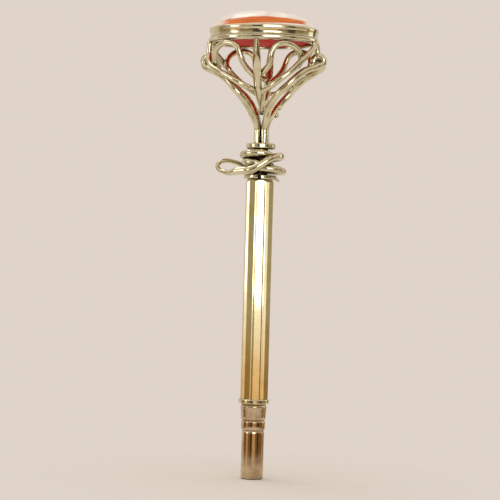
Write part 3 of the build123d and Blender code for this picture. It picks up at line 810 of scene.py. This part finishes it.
roughen(mesh, wave_mm=0.6, depth_mm=0.02)
finish_piece("split_ring", mesh, wire_gold, "key", ["split_washer"], sharp_angle=50)

# %% [markdown]
# ## Solder
# Where wires meet, the goldsmith ran a drop of solder. Each is a small ball, squashed and roughened, that
# sits on the joint and ties the two wires together. Two more drops ran out on one wire above the stem and
# were never filed away.

# %% Drops of solder
BAND_CLEARANCE = 0.10
RUN_OUT_DROPS = [((2.02, 2.55, 49.1), 0.34, (0.8, 1.0, 1.3)), ((1.62, 2.15, 48.0), 0.36, (1, 1, 1))]


def drop(mesh, place, radius, squash):
    """Add a ball of solder, squashed along the axes."""
    made = bmesh.ops.create_icosphere(mesh, subdivisions=3, radius=radius * MM)["verts"]
    bmesh.ops.scale(mesh, vec=squash, verts=made)
    bmesh.ops.translate(mesh, vec=Vector(place) * MM, verts=made)


mesh = bmesh.new()
for side_y in (1, -1):
    for side_x in (1, -1):
        lobe, strand = (shapes[kind][side_x * side_y][0] for kind in ("lobe", "strand"))
        for (x, y, z), radius, squash in (
                (lobe[0], 0.33, (1.1, 0.8, 1.1)), (strand[-1], 0.27, (1.2, 0.9, 0.9)),
                (lobe[-1], 0.38, (1, 1, 1.1)), (lobe[6], 0.34, (1.8, 0.9, 0.7)),
                (strand[0], 0.38, (1, 1.1, 0.8))):
            place = (x * side_x, y * side_y, min(z, head_low.z - BAND_CLEARANCE))
            drop(mesh, place, radius, squash)
for place, radius, squash in RUN_OUT_DROPS:
    drop(mesh, place, radius, squash)
roughen(mesh, wave_mm=0.4, depth_mm=0.05)
finish_piece("solder_drops", mesh, wire_gold, "key", [])

# %% [markdown]
# ## The studio
# Polished metal is made of reflections, so the room matters as much as the material. White, linen and black
# cards stand in a ring round the key, as in a jeweller's light tent, and a wide soft box stands in front.
# Each card is an edge that is spun through part of a circle and shines a little. The camera doesn't see the
# cards, but whatever mirrors the room does. Low down one tint stands for a warm cloth, and lower still
# another for the shade at the table. The floor is a round of pale paper that fades out into the background,
# which is one even tone for the camera, for reflections and through glass.

# %% Floor
PALE = "#DFD3CA"
FLOOR_RADIUS, FADE_START, FADE_END = 40.0, 6.0, 35.0

mesh = bmesh.new()
bmesh.ops.create_circle(mesh, cap_ends=True, segments=96, radius=FLOOR_RADIUS * MM)
floor_mesh = bpy.data.meshes.new("floor")
mesh.to_mesh(floor_mesh)
mesh.free()
floor = bpy.data.objects.new("floor", floor_mesh)
bpy.context.scene.collection.objects.link(floor)
material, tree = new_material("matte_paper_floor")
place = add(tree, "ShaderNodeTexCoord").outputs["Object"]
distance = add(tree, "ShaderNodeVectorMath", {0: place}, operation="LENGTH")
fade = soft_step(tree, distance.outputs["Value"], FADE_START * MM, FADE_END * MM)
paper = add(tree, "ShaderNodeBsdfDiffuse", {"Color": linear("#D8CEC3")})
clear = add(tree, "ShaderNodeBsdfTransparent")
surface = add(tree, "ShaderNodeMixShader", {0: fade, 1: paper.outputs[0], 2: clear.outputs[0]})
add(tree, "ShaderNodeOutputMaterial", {"Surface": surface.outputs[0]})
floor_mesh.materials.append(material)
print("floor", FLOOR_RADIUS, "mm round")

# %% The background
world = bpy.data.worlds.new("pale_background")
bpy.context.scene.world = world
world.use_nodes = True
tree = world.node_tree
tree.nodes.clear()
room = add(tree, "ShaderNodeBackground", {"Color": linear("#F8F6F2"), "Strength": 1.0})
even = add(tree, "ShaderNodeBackground", {"Color": linear(PALE), "Strength": 1.0})
path = add(tree, "ShaderNodeLightPath")
mirrored = maths(tree, "MAXIMUM", path.outputs["Is Camera Ray"], path.outputs["Is Glossy Ray"])
seen = maths(tree, "MAXIMUM", mirrored, path.outputs["Is Transmission Ray"])
sky = add(tree, "ShaderNodeMixShader", {0: seen, 1: room.outputs[0], 2: even.outputs[0]})
add(tree, "ShaderNodeOutputWorld", {"Surface": sky.outputs[0]})
print("background", PALE)

# %% Cards round the key
CARD_REACH, CARD_FOOT, CARD_HEAD = 600.0, -110.0, 300.0
CARD_TINTS = [("#E8C8A0", 10.0, -35.0), ("#D0C0B0", -45.0, -55.0)]


def card_paper(name, hex_colour, strength):
    """A card that shines by itself, with a warm cloth's tint low down and a painted shade for the table below
    that.
    """
    material, tree = new_material(name)
    axes = add(tree, "ShaderNodeSeparateXYZ", {"Vector": add(tree, "ShaderNodeTexCoord").outputs["Object"]})
    light = linear(hex_colour)
    for tint, upper, lower in CARD_TINTS:
        share = soft_step(tree, axes.outputs["Z"], upper * MM, lower * MM)
        light = add(tree, "ShaderNodeMix", {0: share, 6: light, 7: linear(tint)}, data_type="RGBA",
                    blend_type="MULTIPLY").outputs[2]
    shine = add(tree, "ShaderNodeEmission", {"Color": light, "Strength": strength})
    add(tree, "ShaderNodeOutputMaterial", {"Surface": shine.outputs[0]})
    return material


white_card = card_paper("white_card", "#FFFFFF", 1.2)
linen_card = card_paper("linen_card", "#B0A890", 1.0)
black_card = card_paper("black_card", "#504C48", 1.0)
CARDS = [(175, 207, linen_card), (-153, -133, white_card), (-133, -107, linen_card), (-107, -88, black_card),
         (-88, -58, white_card), (-58, -38, linen_card), (-38, -22, black_card), (-22, 22, linen_card),
         (22, 42, white_card), (42, 55, black_card)]
for number, (start, end, paper) in enumerate(CARDS):
    mesh = bmesh.new()
    turn = Matrix.Rotation(math.radians(start), 3, "Z")
    edge = [mesh.verts.new(turn @ Vector((CARD_REACH, 0, lift)) * MM) for lift in (CARD_FOOT, CARD_HEAD)]
    mesh.edges.new(edge)
    bmesh.ops.spin(mesh, geom=mesh.edges[:] + mesh.verts[:], cent=(0, 0, 0), axis=(0, 0, 1), dvec=(0, 0, 0),
                   angle=math.radians(end - start), steps=max(4, (end - start) // 2), use_duplicate=False)
    data = bpy.data.meshes.new(f"card_{number}")
    mesh.to_mesh(data)
    mesh.free()
    data.materials.append(paper)
    card = bpy.data.objects.new(f"card_{number}", data)
    card.visible_camera = card.visible_diffuse = card.visible_shadow = False
    bpy.context.scene.collection.objects.link(card)
print("cards", len(CARDS))

# %% Lamps
LAMP_AIM = Vector((0, 0, 30))


def soft_box(name, azimuth, elevation, distance, width, height, power):
    """A soft box that looks at the middle of the key."""
    lamp = bpy.data.lights.new(name, "AREA")
    lamp.shape = "RECTANGLE"
    lamp.size, lamp.size_y, lamp.energy = width * MM, height * MM, power
    box = bpy.data.objects.new(name, lamp)
    turn, rise = math.radians(azimuth), math.radians(elevation)
    away = Vector((math.cos(turn) * math.cos(rise), math.sin(turn) * math.cos(rise), math.sin(rise)))
    box.matrix_world = Matrix.Translation((LAMP_AIM + away * distance) * MM) @ \
        away.to_track_quat("Z", "Y").to_matrix().to_4x4()
    box.visible_camera = False
    bpy.context.scene.collection.objects.link(box)
    print(f"{name}: {power / (math.pi * width * height * MM * MM):.2f} W/sr/m2")


soft_box("front_box", azimuth=-70, elevation=6, distance=420, width=220, height=128, power=0.32)
soft_box("left_box", azimuth=-143, elevation=8, distance=420, width=100, height=150, power=0.08)
soft_box("roof_box", azimuth=150, elevation=62, distance=420, width=220, height=160, power=0.22)
bpy.context.scene.view_settings.view_transform = "Standard"
